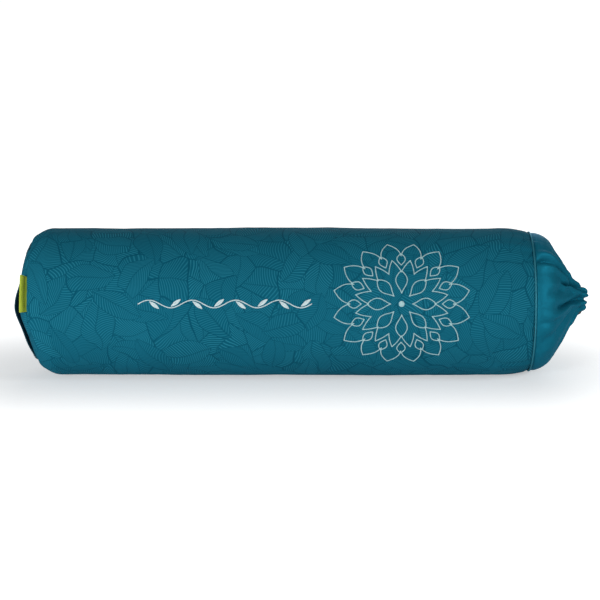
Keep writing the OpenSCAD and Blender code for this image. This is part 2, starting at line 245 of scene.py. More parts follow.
class Profile:
    """A line of x and r points that turns round the roll's axis to make a surface. s is the distance
    along it."""

    def __init__(self, x, r):
        self.x, self.r = np.asarray(x), np.asarray(r)
        self.s = np.concatenate([[0], np.cumsum(np.hypot(np.diff(self.x), np.diff(self.r)))])
        self.length = self.s[-1]

    def at(self, s):
        return np.interp(s, self.s, self.x), np.interp(s, self.s, self.r)

    def raised(self, s, phi, out, floor=0.0):
        """Points that stand out from the surface by out."""
        x, r = self.at(s)
        (x0, r0), (x1, r1) = self.at(s - MM), self.at(s + MM)
        length = np.hypot(x1 - x0, r1 - r0)
        raised_r = np.maximum(r + (x1 - x0) / length * out, 0.1 * MM)
        return settled(place(x - (r1 - r0) / length * out, raised_r, phi), floor)


def dome_x(r):
    """The closed end. Its panel is taut, and a little flatter than the frame's."""
    taut = 4.0 * MM * np.maximum(0, 1 - (r / (85 * MM)) ** 4)
    return taut + CROWN_X - CROWN_DEPTH * np.sqrt(np.maximum(0, 1 - (r / ROLL_R) ** CROWN_POWER))


def tube_profile(end_r):
    """The tube from its seam at radius end_r on the closed end to the sleeve seam."""
    r_dome = ROLL_R * np.sin(np.linspace(math.asin(end_r / ROLL_R), math.pi / 2, 60))
    t = np.linspace(0, 1, 40)
    x = np.concatenate([dome_x(r_dome), SEAM_X - 0.6 * MM - TAPER * (1 - t)])
    return Profile(x, np.concatenate([r_dome, ROLL_R - (ROLL_R - SLEEVE_R) * t * t]))


def panel_profile(end_r):
    """The round panel of the closed end, from its middle to its seam."""
    r = end_r * np.sin(np.linspace(0, math.pi / 2, 80))
    return Profile(dome_x(r), r)


TUBE = tube_profile(END_SEAM_R)


def cloth_swell(points):
    """The slow unevenness of filled cloth."""
    slow = fractal(points * (0.6, 1, 1), 85 * MM, 2, 3.1)
    return 1.1 * MM * slow + 0.35 * MM * fractal(points, 28 * MM, 2, 7.7)


def seam_pucker(s, phi, size, seed):
    """Ripples that run away from a seam round the roll."""
    return fractal(np.stack([s * 0.15, np.cos(phi) * 0.1, np.sin(phi) * 0.1], -1), size, 2, seed)


def roll_surface(s, phi, inset=0.0):
    """Points on the tube of the cover, or of a layer inset from it."""
    x, r = TUBE.at(s)
    out = cloth_swell(place(x, r, phi)) - inset
    far = TUBE.length - s
    out += 0.9 * MM * seam_pucker(s, phi, 7 * MM, 1.3) * np.exp(-np.maximum(s, 0) / (10 * MM))
    out += 0.5 * MM * seam_pucker(s, phi, 8 * MM, 2.6) * np.exp(-far / (16 * MM))
    out += 1.3 * MM * seam_pucker(s, phi, 24 * MM, 6.4) * bump(far - 25 * MM, 45 * MM)
    if inset == 0:
        # A roll of cloth beside the closed end's seam, the grooves of both end seams, and the groove of the
        # back seam
        out += 1.3 * MM * bump(s - 8 * MM, 6 * MM)
        out -= 2.0 * MM * bump(s, 3 * MM) + 1.2 * MM * bump(far, 4 * MM)
        out -= 0.7 * MM * bump(angle_gap(phi, BACK_SEAM) * ROLL_R, 1.1 * MM)
    return TUBE.raised(s, phi, out, inset)


def smooth_ends(count, pull=0.75):
    """Shares from 0 to 1, closer together at both ends."""
    t = np.linspace(0, 1, count)
    return t - pull * np.sin(TAU * t) / TAU


def around(columns):
    """Angles round the roll from its back seam to its back seam, closest together at the seam."""
    return BACK_SEAM + TAU * smooth_ends(columns + 1, 0.78)


# ---- materials ----


class Nodes:
    """Writes a material's nodes as expressions."""

    def __init__(self, name):
        self.material = bpy.data.materials.new(name)
        self.material.use_nodes = True
        self.tree = self.material.node_tree
        self.tree.nodes.clear()

    def node(self, kind, inputs=(), **settings):
        node = self.tree.nodes.new(kind)
        for key, value in settings.items():
            setattr(node, key, value)
        for key, value in dict(inputs).items():
            self.put(node.inputs[key], value)
        return node

    def new(self, kind, inputs=(), out=0, **settings):
        return self.node(kind, inputs, **settings).outputs[out]

    def put(self, socket, value):
        if isinstance(value, bpy.types.NodeSocket):
            self.tree.links.new(value, socket)
        else:
            socket.default_value = value

    def math(self, operation, *values):
        return self.new("ShaderNodeMath", enumerate(values), operation=operation)

    def times(self, a, b):
        return self.math("MULTIPLY", a, b)

    def scaled(self, x, factor, offset):
        """x times factor, plus offset."""
        return self.math("MULTIPLY_ADD", x, factor, offset)

    def vector(self, operation, *values, out=0):
        return self.new("ShaderNodeVectorMath", enumerate(values), out, operation=operation)

    def split(self, vector):
        return self.node("ShaderNodeSeparateXYZ", {0: vector}).outputs

    def noise(self, place, size, detail=2.0, out=0):
        return self.new("ShaderNodeTexNoise", {"Vector": place, "Scale": 1 / size, "Detail": detail}, out)

    def ramp(self, value, low, high, start=0.0, end=1.0):
        inputs = {"Value": value, "From Min": low, "From Max": high, "To Min": start, "To Max": end}
        return self.new("ShaderNodeMapRange", inputs, interpolation_type="SMOOTHSTEP")

    def mix(self, share, a, b):
        node = self.node("ShaderNodeMix", data_type="RGBA", clamp_factor=True)
        for index, value in ((0, share), (6, a), (7, b)):
            self.put(node.inputs[index], value)
        return node.outputs[2]

    def finish(self, colour, roughness, height=None, depth=0.1 * MM, **more):
        surface = self.node("ShaderNodeBsdfPrincipled", {"Base Color": colour, "Roughness": roughness})
        for key, value in more.items():
            self.put(surface.inputs[key.replace("_", " ")], value)
        if height is not None:
            shade = self.new("ShaderNodeBump", {"Height": height, "Distance": depth, "Strength": 1.0})
            self.put(surface.inputs["Normal"], shade)
        self.node("ShaderNodeOutputMaterial", {"Surface": surface.outputs[0]})
        return self.material


def rgb(*screen):
    """A screen colour of 0 to 255 as a linear one."""
    shares = [c / 255 for c in screen]
    return (*[c / 12.92 if c <= 0.04045 else ((c + 0.055) / 1.055) ** 2.4 for c in shares], 1.0)


def cloth_place(n):
    """The place on the flat cloth, in metres."""
    return n.new("ShaderNodeUVMap", uv_map="cloth")


def body_place(n):
    """The place in the object's space, in metres."""
    return n.new("ShaderNodeTexCoord", out=3)


def weave(n, place, pitch):
    """The height of a plain weave, 0 to 1, with threads of the given pitch."""
    x, y = n.split(place)[:2]
    over, under = [n.math("SINE", n.times(axis, TAU / pitch)) for axis in (x, y)]
    return n.scaled(n.times(over, under), 0.5, 0.5)


def twill(n, place, pitch, slant=1.0):
    """The height of a diagonal weave, 0 to 1."""
    x, y = n.split(place)[:2]
    phase = n.times(n.scaled(x, slant, y), TAU / pitch)
    return n.scaled(n.math("SINE", phase), 0.5, 0.5)


def hatched_leaves(n, place, cell, leaf=None, seed=0.0):
    """A layer of hatched leaves, one in each cell: the light lines, the dark ribs and outlines, and
    where the layer covers what's below. leaf is the half length and half width of a leaf, or None to
    fill the cells."""
    stripe = 3.3 * MM
    moved = n.vector("ADD", place, (seed, 0.37 * seed, 0))
    inputs = {"Vector": moved, "Scale": 1 / cell}
    cells = n.node("ShaderNodeTexVoronoi", inputs, voronoi_dimensions="2D")
    edges = n.node("ShaderNodeTexVoronoi", inputs, voronoi_dimensions="2D", feature="DISTANCE_TO_EDGE")
    red, green, blue = n.node("ShaderNodeSeparateColor", {0: cells.outputs["Color"]}).outputs[:3]
    offset = n.vector("SUBTRACT", moved, cells.outputs["Position"])
    turned = n.new("ShaderNodeVectorRotate", {"Vector": offset, "Angle": n.times(red, TAU)},
                   rotation_type="Z_AXIS")
    x, along = n.split(turned)[:2]
    across = n.math("ABSOLUTE", x)
    # The veins curve up from the rib towards the leaf's tip.
    rise = n.scaled(green, 0.7, 0.55)
    curl = n.times(n.times(across, across), 9.0)
    phase = n.math("SUBTRACT", n.scaled(across, rise, along), curl)
    wave = n.math("SINE", n.times(phase, TAU / stripe))
    line = n.ramp(wave, 0.0, 1.0)
    rib = n.ramp(across, 0.3 * MM, 1.1 * MM, 1.0, 0.0)
    edge = n.ramp(n.times(edges.outputs[0], cell), 0.3 * MM, 1.3 * MM, 1.0, 0.0)
    if leaf is None:
        cover = 1.0
    else:
        half_length, half_width = leaf
        share = n.math("DIVIDE", along, half_length)
        room = n.times(n.math("SUBTRACT", 1.0, n.times(share, share)), half_width)
        inside = n.math("SUBTRACT", room, across)
        edge = n.math("MAXIMUM", edge, n.ramp(inside, 0.3 * MM, 1.4 * MM, 1.0, 0.0))
        cover = n.math("GREATER_THAN", inside, 0.0)
    dark = n.math("MAXIMUM", n.times(rib, 0.6), edge)
    light = n.times(line, n.math("SUBTRACT", 1.0, dark))
    return n.times(light, n.scaled(blue, 0.45, 0.55)), dark, cover


def printed_cloth():
    """Woven cloth with a fine tone-on-tone print of overlapping, hatched leaves."""
    n = Nodes("printed_cloth")
    place = cloth_place(n)
    bend = n.vector("SUBTRACT", n.noise(place, 60 * MM, 1.0, 1), (0.5, 0.5, 0.5))
    bent = n.vector("ADD", place, n.vector("MULTIPLY", bend, (0.03, 0.03, 0)))
    light, dark, _ = hatched_leaves(n, bent, 44 * MM)
    for cell, leaf, seed in ((64 * MM, (40 * MM, 19 * MM), 0.31), (78 * MM, (36 * MM, 17 * MM), 1.73)):
        light_over, dark_over, cover = hatched_leaves(n, bent, cell, leaf, seed)
        light = n.new("ShaderNodeMix", {0: cover, 2: light, 3: light_over})
        dark = n.new("ShaderNodeMix", {0: cover, 2: dark, 3: dark_over})
    base = n.mix(n.noise(place, 110 * MM, 3.0), rgb(12, 84, 105), rgb(17, 97, 120))
    tone = n.mix(n.times(light, 0.75), base, rgb(42, 134, 156))
    colour = n.mix(n.times(dark, 0.45), tone, rgb(6, 66, 86))
    height = n.scaled(weave(n, place, 0.9 * MM), 0.6, n.times(light, 0.4))
    return n.finish(colour, 0.85, height, 0.1 * MM, Specular_IOR_Level=0.05,
                    Specular_Tint=rgb(90, 180, 205), Sheen_Weight=0.06, Sheen_Roughness=0.5,
                    Sheen_Tint=rgb(30, 130, 155))


def plain_cloth(name, dark, light, shine=0.0):
    """The same cloth without the print, with a slight satin shine."""
    n = Nodes(name)
    place = cloth_place(n)
    colour = n.mix(n.noise(place, 40 * MM, 3.0), dark, light)
    flecks = n.mix(n.ramp(n.noise(place, 1.2 * MM, 1.0), 0.3, 0.8, 0.0, 0.25), colour, light)
    return n.finish(flecks, 0.5 - shine, weave(n, place, 0.8 * MM), 0.06 * MM, Metallic=0.4,
                    Specular_IOR_Level=0.03, Specular_Tint=rgb(90, 180, 205), Sheen_Weight=0.1,
                    Sheen_Roughness=0.35, Sheen_Tint=rgb(40, 140, 165))


def thread(name, colour, shade):
    """Twisted sewing thread with the soft gleam of its fibres."""
    n = Nodes(name)
    place = body_place(n)
    twist = twill(n, place, 0.5 * MM, 0.8)
    tone = n.mix(n.scaled(n.noise(place, 3 * MM), 0.6, n.times(twist, 0.25)), shade, colour)
    return n.finish(tone, 0.45, twist, 0.05 * MM, Specular_IOR_Level=0.35, Sheen_Weight=0.2)


def ribbed(name, dark, light, pitch, roughness=0.8):
    """Ribbon, tape or webbing with cross ribs."""
    n = Nodes(name)
    place = cloth_place(n)
    rib = twill(n, place, pitch, 0.0)
    tone = n.mix(n.scaled(rib, 0.5, n.times(n.noise(place, 6 * MM), 0.6)), dark, light)
    height = n.scaled(rib, 0.6, n.times(twill(n, place, 0.7 * MM, 60.0), 0.4))
    return n.finish(tone, roughness, height, 0.12 * MM, Specular_IOR_Level=0.2)


def twill_cotton(name, dark, light):
    """Undyed cotton with a diagonal weave and a few slubs."""
    n = Nodes(name)
    place = cloth_place(n)
    slub = n.ramp(n.noise(n.vector("MULTIPLY", place, (1, 14, 1)), 9 * MM, 2.0), 0.62, 0.75)
    diagonal = twill(n, place, 1.1 * MM)
    tone = n.mix(n.scaled(diagonal, 0.4, n.times(slub, 0.3)), light, dark)
    return n.finish(tone, 0.9, n.math("ADD", diagonal, slub), 0.08 * MM, Specular_IOR_Level=0.15,
                    Sheen_Weight=0.2)


def fibre_fill():
    """Loose white polyester fibre."""
    n = Nodes("fibre_fill")
    place = body_place(n)
    strands = n.noise(n.vector("MULTIPLY", place, (1, 5, 1)), 6 * MM, 6.0)
    tone = n.mix(strands, rgb(205, 205, 200), rgb(250, 250, 247))
    return n.finish(tone, 0.95, strands, 1.2 * MM, Sheen_Weight=0.5, Subsurface_Weight=0.15)


def moulded(name, colour, roughness=0.5):
    """Moulded plastic with a fine grain."""
    n = Nodes(name)
    place = body_place(n)
    grain = n.noise(place, 0.35 * MM, 2.0)
    pale = (*[1.6 * c for c in colour[:3]], 1)
    tone = n.mix(n.ramp(n.noise(place, 5 * MM), 0.3, 0.7, 0.0, 0.35), colour, pale)
    rough = n.scaled(grain, 0.15, roughness - 0.07)
    return n.finish(tone, rough, grain, 0.03 * MM)


def plated(name):
    """Plated steel with fine drawn lines."""
    n = Nodes(name)
    place = body_place(n)
    lines = n.noise(n.vector("MULTIPLY", place, (1, 1, 24)), 2 * MM, 2.0)
    tone = n.mix(lines, rgb(178, 178, 182), rgb(214, 214, 216))
    return n.finish(tone, n.scaled(lines, 0.15, 0.24), lines, 0.01 * MM, Metallic=1.0)


def braided(name, dark, light):
    """Braided cord, flecked lighter at random."""
    n = Nodes(name)
    place = cloth_place(n)
    flecks = n.noise(place, 0.8 * MM, 2.0)
    tone = n.mix(n.ramp(flecks, 0.3, 0.7), dark, light)
    return n.finish(tone, 0.7, flecks, 0.08 * MM, Specular_IOR_Level=0.25, Sheen_Weight=0.2)


# ---- how pieces are dressed ----


def paint(obj, material):
    obj.data.materials.clear()
    obj.data.materials.append(material)


def dress(obj, material, body, slot, *nodes):
    """Gives a piece its material, the body it rides on, and the CAD nodes it stands for."""
    paint(obj, material)
    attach(obj, body)
    if nodes:
        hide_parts(*nodes)
    return obj


def dress_bent(obj, material, body, start, end, slot, *nodes):
    """Paints a piece, bakes its place into its mesh and hides the CAD nodes it stands for. Its body, start
    and end are not used.
    """
    paint(obj, material)
    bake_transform(obj)
    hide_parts(*nodes)
    return obj


def keep_cad(node, material, edge=None):
    """A CAD node that stays, with a new material and rounded edges."""
    obj = frame["nodes"][node]
    paint(obj, material)
    if edge:
        bevel = obj.modifiers.new("edges", "BEVEL")
        bevel.width = edge
        bevel.segments = 2
        bevel.limit_method = "ANGLE"


# ---- thread, cord and tube meshes ----


def stitches(name, starts, ends, normals, radius, height=0.6, arch=0.35 * MM):
    """One mesh of many stitches. Each rises from the cloth, arches and goes back in."""
    starts, ends, normals = (np.asarray(a, float) for a in (starts, ends, normals))
    along = ends - starts
    up = unit(normals)
    side = unit(np.cross(up, along))
    t = np.array([0, 0.12, 0.5, 0.88, 1])[:, None]
    size = np.array([0.35, 0.85, 1, 0.85, 0.35])[:, None]
    lift = arch * np.sin(np.pi * t) + 0.25 * radius * (size - 0.6)
    a = np.linspace(0, TAU, 7)[:-1]
    spine = starts[:, None, None] + along[:, None, None] * t[None, :, :, None]
    spine = spine + up[:, None, None] * lift[None, :, :, None]
    wide = side[:, None, None] * (radius * size * np.cos(a))[None, :, :, None]
    high = up[:, None, None] * (radius * height * size * np.sin(a))[None, :, :, None]
    points = (spine + wide + high).reshape(-1, 3)
    rings, sides, count = len(t), len(a), len(starts)
    i, j = grid(np.arange(rings - 1), np.arange(sides))
    k = (j + 1) % sides
    quads = np.stack([i * sides + j, i * sides + k, (i + 1) * sides + k, (i + 1) * sides + j], -1)
    base = np.arange(count)[:, None, None] * rings * sides
    faces = (base + quads.reshape(-1, 4)).reshape(-1, 4).tolist()
    first, last = list(range(sides))[::-1], list(range((rings - 1) * sides, rings * sides))
    faces += [[n * rings * sides + v for v in ring] for n in range(count) for ring in (first, last)]
    return mesh_object(name, points, faces)


def swept(name, path, radii):
    """A tube along a path. radii[point, side] is its radius."""
    count, sides = radii.shape
    tangent = unit(np.gradient(path, axis=0))
    normal = np.zeros_like(path)
    normal[0] = unit(np.cross(tangent[0], (0.3, 0.2, 1.0)))
    for i in range(1, count):
        carried = normal[i - 1] - tangent[i] * np.dot(normal[i - 1], tangent[i])
        normal[i] = carried / np.linalg.norm(carried)
    other = np.cross(tangent, normal)
    a = np.linspace(0, TAU, sides, endpoint=False)[None, :, None]
    spokes = normal[:, None] * np.cos(a) + other[:, None] * np.sin(a)
    points = path[:, None] + radii[:, :, None] * spokes
    flat = np.stack(np.meshgrid(np.linspace(0, TAU, sides + 1) * radii.mean(), distances(path)), -1)
    return cap(sheet(name, points, flat[..., ::-1]))


def braid_radii(path, radius, sides=20, pitch=5.5 * MM):
    """The radius of a braided cord at each point and side: two sets of strands that cross."""
    s = distances(path)[:, None]
    a = np.linspace(0, TAU, sides, endpoint=False)[None]
    strands = np.maximum(np.cos(4 * a + TAU * s / pitch), np.cos(4 * a - TAU * s / pitch))
    return radius * (0.93 + 0.09 * strands)


def lathe(name, heights, radii, centre, axis, side, columns=72):
    """A turned solid. radii[height, column] or radii[height]; it stands on centre, along axis."""
    axis, side, centre = (np.array(v) for v in (axis, side, centre))
    radii = np.asarray(radii, float)
    if radii.ndim == 1:
        radii = np.repeat(radii[:, None], columns, 1)
    other = np.cross(axis, side)
    a = np.linspace(0, TAU, columns, endpoint=False)
    spokes = side[None] * np.cos(a)[:, None] + other[None] * np.sin(a)[:, None]
    points = centre + np.asarray(heights)[:, None, None] * axis + radii[:, :, None] * spokes[None]
    return cap(sheet(name, points))


def carved(obj, *cutters):
    """Cuts other meshes out of obj, and removes them."""
    for cutter in cutters:
        cut = obj.modifiers.new("cut", "BOOLEAN")
        cut.operation = "DIFFERENCE"
        cut.solver = "EXACT"
        cut.object = cutter
    graph = bpy.context.evaluated_depsgraph_get()
    obj.data = bpy.data.meshes.new_from_object(obj.evaluated_get(graph))
    obj.modifiers.clear()
    for cutter in cutters:
        bpy.data.objects.remove(cutter)
    return obj


# ---- the cover's body ----


def cover_body(material):
    s = TUBE.length * smooth_ends(240)
    phi = around(300)
    grid_s, grid_phi = grid(s, phi)
    points = roll_surface(grid_s[:, :-1], grid_phi[:, :-1])
    flat = np.stack([grid_s, ROLL_R * grid_phi], -1)
    obj = thicken(sheet("cover_body_cloth", points, flat), COVER_T)
    return dress(obj, material, "roll", "printed_fabric", "cover_body")


def back_seam_stitches(material):
    """Two rows of topstitching beside the lengthwise seam."""
    length, gap = 3.2 * MM, 0.9 * MM
    s = np.arange(6 * MM, TUBE.length - 6 * MM, length)
    starts, ends = [], []
    for side in (-1, 1):
        phi = np.full_like(s, BACK_SEAM + side * 2.6 * MM / ROLL_R)
        starts.append(roll_surface(s, phi))
        ends.append(roll_surface(s + length - gap, phi))
    starts, ends = np.concatenate(starts), np.concatenate(ends)
    up = unit((starts - (0, 0, AXIS_Z)) * (0, 1, 1))
    obj = stitches("cover_seam_stitches", starts, ends, up, 0.32 * MM, 0.8, 0.2 * MM)
    return dress(obj, material, "roll", "thread_dark")


def end_panel(name, material, slot, node, end_r, inset=0.0, thick=COVER_T):
    """The round panel of the closed end, domed by the filling and drawn in a little at its seam."""
    profile = panel_profile(end_r)
    s = np.linspace(0.3 * MM, profile.length - 0.4 * MM, 60)
    grid_s, grid_phi = grid(s, around(240))
    x, r = profile.at(grid_s)
    near = profile.length - grid_s
    pucker = seam_pucker(near, grid_phi, 7 * MM, 2.2) * np.exp(-near / (9 * MM))
    out = 0.8 * MM * fractal(place(x, r, grid_phi), 45 * MM, 2, 6.1) + 0.9 * MM * pucker - inset
    out -= 1.5 * MM * bump(near, 3.5 * MM)
    # The taut upper half of the strap presses into the panel.
    upper = smooth_step(r * np.sin(grid_phi), 12 * MM, 34 * MM)
    out -= 2.2 * MM * bump(r * np.cos(grid_phi), 15 * MM, 4) * upper
    points = profile.raised(grid_s, grid_phi, out)[:, :-1]
    flat = np.stack([r * np.cos(grid_phi), r * np.sin(grid_phi)], -1)
    obj = sheet(name, points, flat)
    return dress(thicken(cap_middle(obj), thick), material, "roll", slot, node)


def cap_middle(obj):
    """Closes the tiny hole in the middle of a round panel, and leaves its rim open."""

    def close(work):
        rings = [edge for edge in work.edges if edge.is_boundary]
        inner = [edge for edge in rings if abs(edge.verts[0].co.z - AXIS_Z) < 5 * MM
                 and abs(edge.verts[0].co.y) < 5 * MM]
        bmesh.ops.holes_fill(work, edges=inner, sides=0)

    return edit_mesh(obj, close)


# ---- the sleeve and its mouth ----

# Each fold: its angle at the seam, half-way and at the mouth in degrees, where it starts and ends as
# shares of the sleeve's length, how quickly it grows, its depth in mm, its half width in degrees, and
# how far it leans over, -1 to 1.
FOLDS = [
    ((50.5, 55, 63), -0.30, 1.6, 0.35, 10.5, 4.2, 0.1),
    ((38, 41, 60), 0.42, 1.0, 0.16, 9.0, 4.5, -0.4),
    ((18, 29, 32), 0.05, 0.62, 0.30, 2.6, 5, 0.2),
    ((9.5, 11, 17), 0.22, 1.6, 0.35, 7.0, 4.5, -0.4),
    ((-2.5, -5, -6), -0.20, 0.52, 0.30, 3.2, 4, 0.3),
    ((-20, -17, -9), -0.15, 0.90, 0.35, 3.6, 8, -0.2),
    ((-62, -52, -42), 0.30, 1.6, 0.35, 6.0, 6, -0.6),
    ((-84, -88, -92), 0.45, 1.6, 0.35, 4.5, 7, 0.5),
    ((-118, -119, -120), 0.40, 1.0, 0.35, 4.5, 8, -0.3),
    ((-164, -156, -146), 0.10, 1.6, 0.35, 7.0, 9, -0.5),
    ((172, 170, 166), 0.30, 1.6, 0.35, 7.0, 8, 0.6),
    ((138, 139, 140), 0.05, 0.95, 0.35, 6.0, 9, 0.2),
    ((104, 108, 116), 0.45, 1.6, 0.35, 5.0, 7, -0.6),
    ((78, 83, 90), 0.30, 0.92, 0.35, 3.5, 4, 0.3),
]


def sleeve_profile():
    """From the seam, over the insert's shoulder and down the cone, over the cord and round the lip, and
    back under the cord inside the mouth."""
    a = np.linspace(0, CONE_SLOPE, 24)
    hem = np.array([(-4.6, 4.8), (-2.4, 3.3), (0, 2.9), (2.2, 2.7), (4.2, 1.8), (5.3, 0.4), (5.0, -1.4),
                    (3.2, -2.6), (0, -2.9), (-3.0, -3.0)]) * MM
    x = np.concatenate([SEAM_X + 0.6 * MM + SHOULDER_R * np.sin(a), MOUTH_X + hem[:, 0]])
    r = np.concatenate([SLEEVE_R - SHOULDER_R * (1 - np.cos(a)), MOUTH_R + hem[:, 1]])
    fine = softened(resampled(np.stack([x, r], -1), 0.4 * MM), 6)
    return Profile(fine[:, 0], fine[:, 1])


SLEEVE = sleeve_profile()
# Distance along the sleeve to the row of thread that closes the hem
THROAT = float(SLEEVE.s[np.argmin(np.abs(SLEEVE.x - (MOUTH_X - 5 * MM)) + (SLEEVE.r < MOUTH_R))])
# The gathered mouth sits a little above the roll's axis.
MOUTH_RISE = 3 * MM


def sleeve_surface(q, phi, inset=0.0):
    """Points on the gathered sleeve, or on a layer inset from it, at distances q along the cloth."""
    x, r = SLEEVE.at(q)
    share = q / THROAT
    hem = smooth_step(share, 0.88, 1.02)
    free = smooth_step(q, -1 * MM, 13 * MM)
    narrow = np.minimum(1, r / (24 * MM)) ** 0.8
    out = 1.2 * MM * smooth_step(share, 0.05, 0.4) * (1 - smooth_step(share, 0.5, 0.9))
    shift, lobes = np.zeros_like(r), np.zeros_like(r)
    widening = 1 + 1.9 * smooth_step(share, 0.7, 1.0)
    lever = np.maximum(r, 30 * MM)
    for (at_seam, half_way, at_mouth), start, end, rise, depth, half, lean in FOLDS:
        middle = np.radians(np.interp(share, (0.05, 0.55, 1.0), (at_seam, half_way, at_mouth)))
        middle = middle + np.radians(1.2) * np.sin(share * 5 + at_seam)
        grow = smooth_step(share, start, start + rise) * (1 - smooth_step(share, end - 0.22, end))
        reach = depth * MM * grow * narrow * free
        if inset:
            # A layer below keeps clear of the folds: its valleys are wider and it has no ridges.
            leant = middle + 1.2 * lean * reach / lever
            u = angle_gap(phi, leant) / np.radians(half * widening)
            out = out - (reach + 1.5 * MM * grow * free) * bump(u, 1.9, 2.5)
            continue
        u = angle_gap(phi, middle) / np.radians(half * widening)
        valley = bump(u, 1, 1.5)
        ridge_up = bump(u - 1.5, 0.85) * (1 + 0.5 * lean * (1 - hem))
        ridge_down = bump(u + 1.5, 0.85) * (1 - 0.5 * lean * (1 - hem))
        out = out + reach * ((0.42 + 0.12 * hem) * (ridge_up + ridge_down) - (1 - 0.75 * hem) * valley)
        push = 1.2 * lean * np.exp(-(u * u) / 2) - 0.5 * u * valley
        shift = shift + reach / lever * push * (1 - hem)
        lobes = lobes + grow * depth / 8 * (0.6 * (ridge_up + ridge_down) - valley)
    base = place(x, r, phi)
    soft = smooth_step(share, 0.0, 0.25)
    ripple = 0.8 * MM * fractal(base, 34 * MM, 2, 4.4) + 0.25 * MM * fractal(base, 11 * MM, 2, 9.1)
    out = out + soft * (1 - 0.8 * hem) * ripple
    out = out - 1.0 * MM * bump(q, 4 * MM)
    out = out + 0.6 * MM * seam_pucker(q, phi, 7 * MM, 5.2) * np.exp(-q / (12 * MM))
    points = SLEEVE.raised(q, phi + shift, out - inset, inset)
    points[..., 2] += MOUTH_RISE * smooth_step(share, 0.35, 1.0)
    points[..., 0] += 1.0 * MM * lobes * smooth_step(share, 0.85, 1.0)
    if inset == 0:
        # The folds can't sink into the insert's flat end.
        past_edge = np.maximum(0, np.hypot(points[..., 1], points[..., 2] - AXIS_Z) - 72 * MM)
        above = points[..., 0] - (ZIP_FACE_X + 1.8 * MM - past_edge**2 / (8 * MM))
        points[..., 0] += (np.sqrt(above**2 + MM**2) - above) / 2
    return points


def sleeve_sheet(name, low, high, rows, material, slot, node):
    q = np.linspace(low, high, rows)
    phi = BACK_SEAM + np.linspace(0, TAU, 401)
    grid_q, grid_phi = grid(q, phi)
    points = sleeve_surface(grid_q[:, :-1], grid_phi[:, :-1])
    flat = np.stack([TUBE.length + grid_q, SLEEVE_R * grid_phi], -1)
    obj = thicken(sheet(name, points, flat), 0.9 * MM)
    return dress(obj, material, "roll", slot, node)


def piping(material):
    """A thin roll of cloth in the sleeve's seam."""
    columns, sides, radius = 420, 14, 1.1 * MM
    phi = np.linspace(0, TAU, columns, endpoint=False)
    base = place(SEAM_X, SLEEVE_R, phi)
    r = SLEEVE_R + 0.2 * MM + 0.2 * MM * fractal(base, 16 * MM, 2, 7.0)
    path = settled(place(SEAM_X, r, phi), radius)
    radii = radius * (1 + 0.1 * fractal(path, 5 * MM, 2, 11.0))[:, None] * np.ones(sides)
    loop = np.concatenate([path, path[:1]])
    obj = swept("sleeve_piping_cord", loop, np.concatenate([radii, radii[:1]]))
    return dress(obj, material, "roll", "plain_fabric", "sleeve_piping")


def hem_stitches(material):
    """The row of stitches that closes the hem's channel, down in the gathers."""
    phi = BACK_SEAM + np.linspace(0, TAU, 61)[:-1]
    step = TAU / 60
    q = np.full_like(phi, THROAT - 1.5 * MM)
    starts, ends = sleeve_surface(q, phi), sleeve_surface(q, phi + 0.7 * step)
    up = starts - np.array((SLEEVE.at(THROAT)[0] - 20 * MM, 0, AXIS_Z))
    obj = stitches("hem_stitches", starts, ends, up, 0.3 * MM, 0.8, 0.3 * MM)
    return dress(obj, material, "roll", "thread_dark")


# ---- the embroidery ----

flower_lo, flower_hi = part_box("flower_embroidery")
FLOWER_X = (flower_lo.x + flower_hi.x) / 2
FLOWER_R = (flower_hi.x - flower_lo.x) / 2
vine_lo, vine_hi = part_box("vine_embroidery")
VINE_X = (vine_lo.x + vine_hi.x) / 2
VINE_LEN = vine_hi.x - vine_lo.x
MOTIF_ANGLE = math.asin(((vine_lo.z + vine_hi.z) / 2 - AXIS_Z) / ROLL_R)


def on_front(flat):
    """The points on the cover, and the directions out of it, for flat points [along the roll, round
    the roll]."""
    s = np.interp(flat[:, 0], TUBE.x, TUBE.s)
    phi = MOTIF_ANGLE + flat[:, 1] / ROLL_R
    return roll_surface(s, phi), place(0.0, 1.0, phi) - (0, 0, AXIS_Z)


def satin_line(flat_paths, width, pitch, slant=0.5):
    """The stitches of lines of satin stitch: each goes across its line, a little along it."""
    starts, ends = [], []
    for path in flat_paths:
        path = resampled(path, pitch)
        along = unit(np.gradient(path, axis=0))
        across = np.stack([-along[:, 1], along[:, 0]], -1) * (width / 2)
        lean = along * (slant * width / 2)
        starts.append(path - across - lean)
        ends.append(path + across + lean)
    return np.concatenate(starts), np.concatenate(ends)


def embroidered(name, starts, ends, radius, material, node, seed):
    """Stitches between flat points on the front, with a little of the unevenness of real thread."""
    jitter = np.random.default_rng(seed).normal(0, 0.07 * MM, (2, *starts.shape))
    (a, up), (b, _) = on_front(starts + jitter[0]), on_front(ends + jitter[1])
    obj = stitches(name, a, b, up, radius, 0.75, 0.4 * MM)
    return dress(obj, material, "roll", "thread_light", node)


def petal_side(middle, side, r0, r1, open_angle, swell):
    """One side of a petal, from radius r0 to r1. It starts open_angle degrees off the petal's middle,
    and bulges by swell degrees half-way."""
    t = np.linspace(0, 1, 24)
    r = FLOWER_R * (r0 + (r1 - r0) * t)
    a = np.radians(middle + side * (open_angle * (1 - t) + swell * np.sin(np.pi * t)))
    return np.stack([FLOWER_X + r * np.cos(a), r * np.sin(a)], -1)


